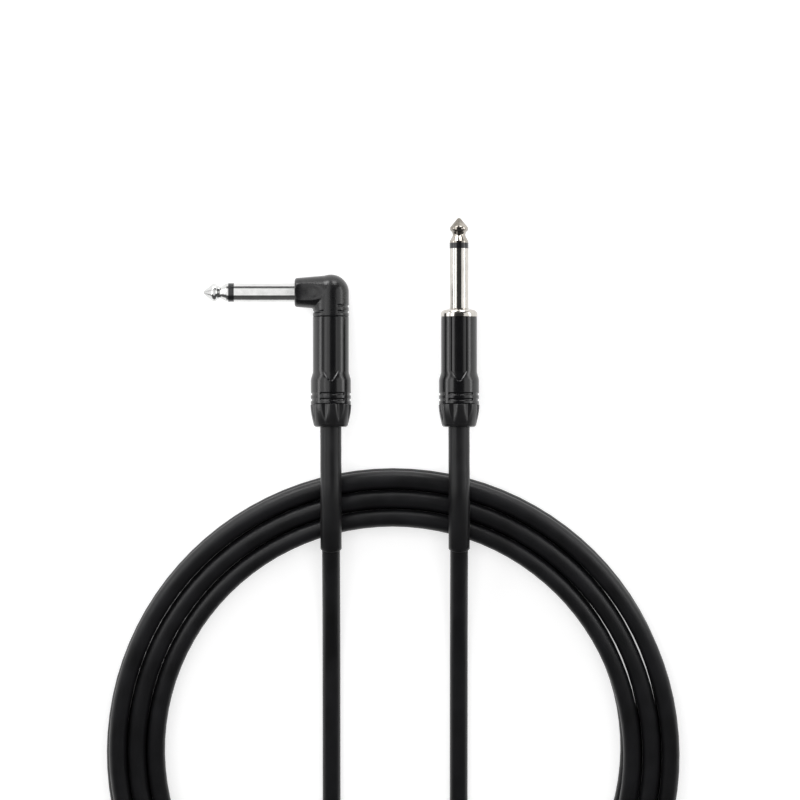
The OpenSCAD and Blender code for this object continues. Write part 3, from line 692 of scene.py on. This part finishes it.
def grain(tree, size, detail=2.0, stretch=(1, 1, 1), turn=(0, 0, 0)):
    """Noise whose grains are about size millimetres, in object space."""
    place = add(tree, "ShaderNodeTexCoord").outputs["Object"]
    scaled = add(tree, "ShaderNodeMapping", {"Vector": place, "Scale": stretch, "Rotation": turn})
    return add(tree, "ShaderNodeTexNoise", {"Vector": scaled.outputs[0], "Scale": 1 / (size * MM),
                                            "Detail": detail, "Roughness": 0.55})


def spread(tree, value, low, high):
    """Maps noise to the range from low to high."""
    return add(tree, "ShaderNodeMapRange", {
        "Value": value, "From Min": NOISE_LOW, "From Max": NOISE_HIGH, "To Min": low, "To Max": high,
    }).outputs[0]


def tint(tree, value, dark, light):
    """Mixes two hex colours by a noise value."""
    share = spread(tree, value, 0, 1)
    mixed = add(tree, "ShaderNodeMix", {"Factor": share, "A": linear(dark), "B": linear(light)},
                data_type="RGBA")
    return mixed.outputs["Result"]


print("noise from", NOISE_LOW, "to", NOISE_HIGH, "is spread over each range")

# %% [markdown]
# ## Soft black PVC
#
# The jacket is extruded plasticised PVC. Its skin is dull with a faint sheen, because
# the die leaves a very fine grain. The IOR of PVC is 1.53, but soot and a film of
# plasticiser dull the skin, so its specular level is below the usual 0.5. Grain of a
# fifth of a millimetre is drawn twice as coarse as it is, so that it shows. All the
# plastics are made by one function, since they differ only in these values.

# %% Jacket of black PVC
PLASTIC_UNEVEN = 0.04            # how much the roughness varies from patch to patch


def plastic(name, dark, light, roughness, grain_mm, depth_mm, ior, patch_mm=9.0, specular=0.5):
    """Moulded or extruded plastic with a grained skin and faint patches."""
    material, tree, output = new_material(name)
    fine = grain(tree, grain_mm, 3).outputs[0]
    patches = grain(tree, patch_mm, 1).outputs[0]
    bump = add(tree, "ShaderNodeBump", {"Height": fine, "Distance": depth_mm * MM, "Strength": 1.0})
    shader = add(tree, "ShaderNodeBsdfPrincipled", {
        "Base Color": tint(tree, patches, dark, light),
        "Roughness": spread(tree, patches, roughness - PLASTIC_UNEVEN, roughness + PLASTIC_UNEVEN),
        "IOR": ior,
        "Specular IOR Level": specular,
        "Normal": bump.outputs[0],
    })
    tree.links.new(shader.outputs[0], output.inputs[0])
    return material


jacket_pvc = plastic("extruded_black_pvc", "#101011", "#161618", 0.4, 0.4, 0.012, 1.53, specular=0.3)
print("jacket:", jacket_pvc.name)

# %% [markdown]
# ## Shrunk polyolefin and moulded nylon
#
# Hot air draws the sleeve's polyolefin tight, which leaves it a shade smoother than the
# jacket, with coarser pulls in its skin: grain of 0.6 mm. The clamp nut is moulded nylon
# from a polished mould, so it takes a clearer highlight, and its grain is fine. The black
# ring behind each tip is turned nylon and the smoothest of them.

# %% Sleeve, nut and ring
shrunk_polyolefin = plastic("shrunk_black_polyolefin", "#131314", "#19191a", 0.36, 0.6, 0.012, 1.5,
                            specular=0.27)
black_nylon = plastic("moulded_black_nylon", "#0f0f10", "#151516", 0.3, 0.3, 0.006, 1.53)
ring_nylon = plastic("black_ring_nylon", "#0b0b0c", "#101011", 0.25, 0.2, 0.003, 1.53)
print("black plastics:", shrunk_polyolefin.name, black_nylon.name, ring_nylon.name)

# %% [markdown]
# ## The plastics inside
#
# Undyed nylon is a milky cream, and so are the liner, the washer and the tube round the
# rod. The cable's core has undyed polyethylene round it, which is whiter and waxier. The
# chuck is grey acetal: its fingers have to spring, and acetal is the plastic for that.

# %% Liner, core and chuck
clear_nylon = plastic("natural_nylon", "#cfc9b8", "#d8d3c4", 0.35, 0.5, 0.004, 1.53)
natural_pe = plastic("natural_polyethylene", "#dcdcd6", "#e4e4df", 0.4, 0.5, 0.004, 1.51)
grey_acetal = plastic("grey_acetal", "#3a3a3b", "#424244", 0.35, 0.4, 0.006, 1.48)
print("inner plastics:", clear_nylon.name, natural_pe.name, grey_acetal.name)

# %% [markdown]
# ## Black lacquer over metal
#
# The barrels are turned brass and the elbow is die-cast zinc, both coated black. The
# pigment lets nothing of the metal through, so neither is a metal to the eye: what it
# sees is a dielectric film with an IOR of 1.5. The barrels' thin lacquer over a turned
# skin gives a clear reflection with soft edges. The enamel on the casting is thicker and
# a little rippled, and its reflection is more blurred.

# %% Finish of the black shells
LACQUER_IOR = 1.5
LACQUER_UNEVEN = 0.03
LACQUER_PATCH = 6.0              # width of its faint patches of colour


def lacquer(name, dark, light, roughness, grain_mm, depth_mm):
    """Black coating on metal, with a fine ripple."""
    material, tree, output = new_material(name)
    fine = grain(tree, grain_mm, 2).outputs[0]
    bump = add(tree, "ShaderNodeBump", {"Height": fine, "Distance": depth_mm * MM, "Strength": 1.0})
    shader = add(tree, "ShaderNodeBsdfPrincipled", {
        "Base Color": tint(tree, grain(tree, LACQUER_PATCH, 1).outputs[0], dark, light),
        "Roughness": spread(tree, fine, roughness - LACQUER_UNEVEN, roughness + LACQUER_UNEVEN),
        "IOR": LACQUER_IOR,
        "Normal": bump.outputs[0],
    })
    tree.links.new(shader.outputs[0], output.inputs[0])
    return material


barrel_lacquer = lacquer("black_lacquered_brass", "#08080a", "#0d0d0e", 0.2, 0.25, 0.0015)
elbow_enamel = lacquer("black_enamelled_zinc", "#08080a", "#0d0d0e", 0.28, 0.3, 0.003)
print("coatings:", barrel_lacquer.name, elbow_enamel.name)

# %% [markdown]
# ## Nickel
#
# The shafts are turned from brass and nickel plated. The lathe leaves rings a fifth of a
# millimetre apart, and each trip in and out of a jack leaves fine lines along the shaft.
# Both are shallow: the plate still mirrors the room. Nickel is a warm grey metal; the
# angled plug's is a shade brighter and cooler. The straight plug's tip is painted a darker,
# patchy grey: painted shade that stands in for the darker reflection it shows. The solder
# lugs are tinned, and the cable's strands are bare copper: both are the same kind of
# surface, but rougher.

# %% Finish of the contacts
RINGS = (0.15, 0.15, 5)          # grains per millimetre: long round the shaft, 0.2 mm apart along it
WIPES = (7, 7, 0.12)             # 0.14 mm wide round the shaft, 8 mm long along it
SCRATCH_DEPTH = 0.0012           # depth of both
STAIN_SIZE = 3.0                 # width of the darker places in the plate


def nickel(name, dark, light, roughness, turn):
    """Turned and plated metal. turn rotates the pattern so that its z runs along the shaft."""
    material, tree, output = new_material(name)
    rings = grain(tree, 1.0, 2, stretch=RINGS, turn=turn).outputs[0]
    wipes = grain(tree, 1.0, 2, stretch=WIPES, turn=turn).outputs[0]
    height = add(tree, "ShaderNodeMath", {0: rings, 1: wipes}, operation="ADD").outputs[0]
    bump = add(tree, "ShaderNodeBump", {"Height": height, "Distance": SCRATCH_DEPTH * MM, "Strength": 1.0})
    shader = add(tree, "ShaderNodeBsdfPrincipled", {
        "Base Color": tint(tree, grain(tree, STAIN_SIZE, 2).outputs[0], dark, light),
        "Metallic": 1.0,
        "Roughness": spread(tree, wipes, roughness - 0.03, roughness + 0.04),
        "Normal": bump.outputs[0],
    })
    tree.links.new(shader.outputs[0], output.inputs[0])
    return material


straight_turn = PLUGS["straight"].to_3x3().inverted().to_euler()
warm_nickel = nickel("warm_nickel_plate", "#bcb8b2", "#cbc7c1", 0.13, straight_turn)
# the straight tip's darker, patchy grey is painted shade, standing in for a darker reflection
nickel_with_painted_shade = nickel("nickel_plate_with_painted_shade", "#7a756d", "#b3ada5", 0.14, straight_turn)
bright_nickel = nickel("bright_nickel_plate", "#c6c6c5", "#d3d3d2", 0.12, (0, math.radians(90), 0))
tin_plate = nickel("tinned_plate_and_solder", "#b4b4b0", "#c4c4c1", 0.3, (0, 0, 0))
bare_copper = nickel("bare_copper_strands", "#b87050", "#cc8a66", 0.28, (math.radians(90), 0, 0))
print("metals:", warm_nickel.name, nickel_with_painted_shade.name, bright_nickel.name, tin_plate.name, bare_copper.name)

# %% [markdown]
# ## Give every piece its finish
#
# Both plugs are built alike, so one table gives the finish of a piece by the end of its
# name. Only their plating differs. The inner pieces are the construction model's own:
# they get a finish too, because a plug may be taken apart.

# %% Finishes by piece
FINISHES = {
    "tip_ring": ring_nylon,
    "inner_tube": clear_nylon,
    "rear_washer": clear_nylon,
    "tip_lug": tin_plate,
    "ground_lug": tin_plate,
    "liner": clear_nylon,
    "chuck": grey_acetal,
    "core": natural_pe,
    "conductor": bare_copper,
    "shield_pigtail": bare_copper,
    "solder": tin_plate,
    "shell": barrel_lacquer,
    "nut_shell": black_nylon,
    "sleeve": shrunk_polyolefin,
}
PLATING = {
    # the straight plug's tip gets the nickel with painted shade
    "straight": {"sleeve_contact": warm_nickel, "tip_contact": nickel_with_painted_shade},
    "angled": {"sleeve_contact": bright_nickel, "tip_contact": bright_nickel},
}


def finish(piece, material):
    """Gives a piece one material, in place of any that it has."""
    piece.data.materials.clear()
    piece.data.materials.append(material)


finish(cable, jacket_pvc)
finish(elbow, elbow_enamel)
for plug in PLUGS:
    for part, material in (FINISHES | PLATING[plug]).items():
        finish(bpy.data.objects[plug + "_" + part], material)
    print(plug, "plug:", len(FINISHES | PLATING[plug]), "pieces finished")

# %% [markdown]
# ## The table
#
# The table is white. What the camera sees of it is its own white plus the light on it,
# so that it stays white and still takes a soft shadow. Reflections show it the same way,
# but it lights the pieces only by what falls on it.

# %% Table
TABLE_SIZE = 3.0
TABLE_COLOUR = "#cdcdcd"
TABLE_OWN_WHITE = 0.55

table_mesh = bpy.data.meshes.new("table")
half = TABLE_SIZE / 2
table_mesh.from_pydata([(-half, -half, 0), (half, -half, 0), (half, half, 0), (-half, half, 0)],
                       [], [(0, 1, 2, 3)])
table = bpy.data.objects.new("table", table_mesh)
bpy.context.scene.collection.objects.link(table)

material, tree, output = new_material("white_table")
rays = add(tree, "ShaderNodeLightPath")
seen = add(tree, "ShaderNodeMath", {0: rays.outputs["Is Camera Ray"], 1: rays.outputs["Is Glossy Ray"]},
           operation="MAXIMUM")
seen = add(tree, "ShaderNodeMath", {0: seen.outputs[0], 1: rays.outputs["Is Transmission Ray"]},
           operation="MAXIMUM")
matt = add(tree, "ShaderNodeBsdfDiffuse", {"Color": linear(TABLE_COLOUR)})
glow = add(tree, "ShaderNodeEmission", {"Color": (1, 1, 1, 1), "Strength": TABLE_OWN_WHITE})
both = add(tree, "ShaderNodeAddShader", {0: matt.outputs[0], 1: glow.outputs[0]})
mixed = add(tree, "ShaderNodeMixShader", {0: seen.outputs[0], 1: matt.outputs[0], 2: both.outputs[0]})
tree.links.new(mixed.outputs[0], output.inputs[0])
finish(table, material)
print("table", TABLE_SIZE, "m wide")

# %% [markdown]
# ## The room
#
# Black shells and bright plate show little more than what they reflect, so the room has
# to be as planned as the pieces: dark overhead, and grey towards the horizon, where the
# sides of the cable mirror it. The camera itself sees plain white behind the table, from
# any side.

# %% Room: dark, with a grey horizon
ROOM = ((0.0, 0.5), (0.03, 0.4), (0.08, 0.15), (0.8, 0.09), (0.97, 0.05))   # height, brightness

world = bpy.data.worlds.new("room")
bpy.context.scene.world = world
world.use_nodes = True
tree = world.node_tree
tree.nodes.clear()
way = add(tree, "ShaderNodeSeparateXYZ", {0: add(tree, "ShaderNodeTexCoord").outputs["Generated"]})
walls = add(tree, "ShaderNodeValToRGB", {"Fac": way.outputs["Z"]})
for place, brightness in ROOM[1:-1]:
    walls.color_ramp.elements.new(place)
for stop, (place, brightness) in zip(walls.color_ramp.elements, ROOM):
    stop.position = place
    stop.color = (brightness, brightness, brightness, 1)
room = add(tree, "ShaderNodeBackground", {"Color": walls.outputs[0], "Strength": 1.0})
white = add(tree, "ShaderNodeBackground", {"Color": (1, 1, 1, 1), "Strength": 1.0})
to_camera = add(tree, "ShaderNodeLightPath").outputs["Is Camera Ray"]
shown = add(tree, "ShaderNodeMixShader", {0: to_camera, 1: room.outputs[0], 2: white.outputs[0]})
tree.links.new(shown.outputs[0], add(tree, "ShaderNodeOutputWorld").inputs[0])
print("room:", len(ROOM), "steps of grey from the horizon up")

# %% [markdown]
# ## The lamps
#
# At each side of the plugs stands a bright strip with a dimmer wall above it, and two
# softboxes stand low beyond the tips, with a dark gap between them for the angled plug's
# shaft. Each leaves a bright line along the shells. A small panel hangs just left over
# the plugs, and the dark ceiling beside it leaves the dark line along each plug's middle.
# A large soft panel high above lights the table, but no reflection shows it. All places
# and sizes are in metres.

# %% A softbox


def softbox(name, at, towards, size, radiance, glossy=True):
    """A rectangular light at a place in metres, aimed at another, with the brightness of its face."""
    width, height = size
    data = bpy.data.lights.new(name, "AREA")
    data.shape = "RECTANGLE"
    data.size, data.size_y = width, height
    data.energy = 4 * radiance * width * height
    lamp = bpy.data.objects.new(name, data)
    lamp.location = at
    lamp.rotation_euler = (Vector(towards) - Vector(at)).to_track_quat("-Z", "Y").to_euler()
    lamp.visible_camera = False
    lamp.visible_glossy = glossy
    bpy.context.scene.collection.objects.link(lamp)
    print(name, round(data.energy, 2), "W")


# %% Lamps beside the plugs
PLUG_MIDDLE = Vector((0.018, 0.075, 0.01))
SIDE_AWAY = 0.25                 # from the plugs' middle
WALL_UP = Vector((0, 0, 0.2))
WALL_SIZE = (0.25, 0.38)
STRIP_UP = Vector((0, 0, 0.075))
STRIP_SIZE = (0.25, 0.05)

for word, side in (("right", SIDE_AWAY), ("left", -SIDE_AWAY)):
    foot = PLUG_MIDDLE + Vector((side, 0, 0))
    softbox("wall_" + word, foot + WALL_UP, PLUG_MIDDLE + WALL_UP, WALL_SIZE, radiance=0.9)
    softbox("strip_" + word, foot + STRIP_UP, PLUG_MIDDLE, STRIP_SIZE, radiance=2.4)

# %% Lamps beyond the tips
FAR_AIM = Vector((0.02, -0.1, 0))
softbox("far_left", Vector((-0.38, 0.9, 0.2)), FAR_AIM, (0.44, 0.34), radiance=6.5)
softbox("far_right", Vector((0.28, 0.9, 0.2)), FAR_AIM, (0.34, 0.34), radiance=5.0)

# %% Lamps above
PANEL_FOOT = Vector((-0.045, 0.058, 0))      # the place on the table that lies under the panel
softbox("overhead", Vector((-0.045, 0.058, 0.10)), PANEL_FOOT, (0.06, 0.2), radiance=1.0)
FILL_AIM = Vector((0.02, -0.05, 0))
softbox("fill_above", Vector((0.02, 0.1, 2.4)), FILL_AIM, (2.2, 2.2), radiance=2.2, glossy=False)
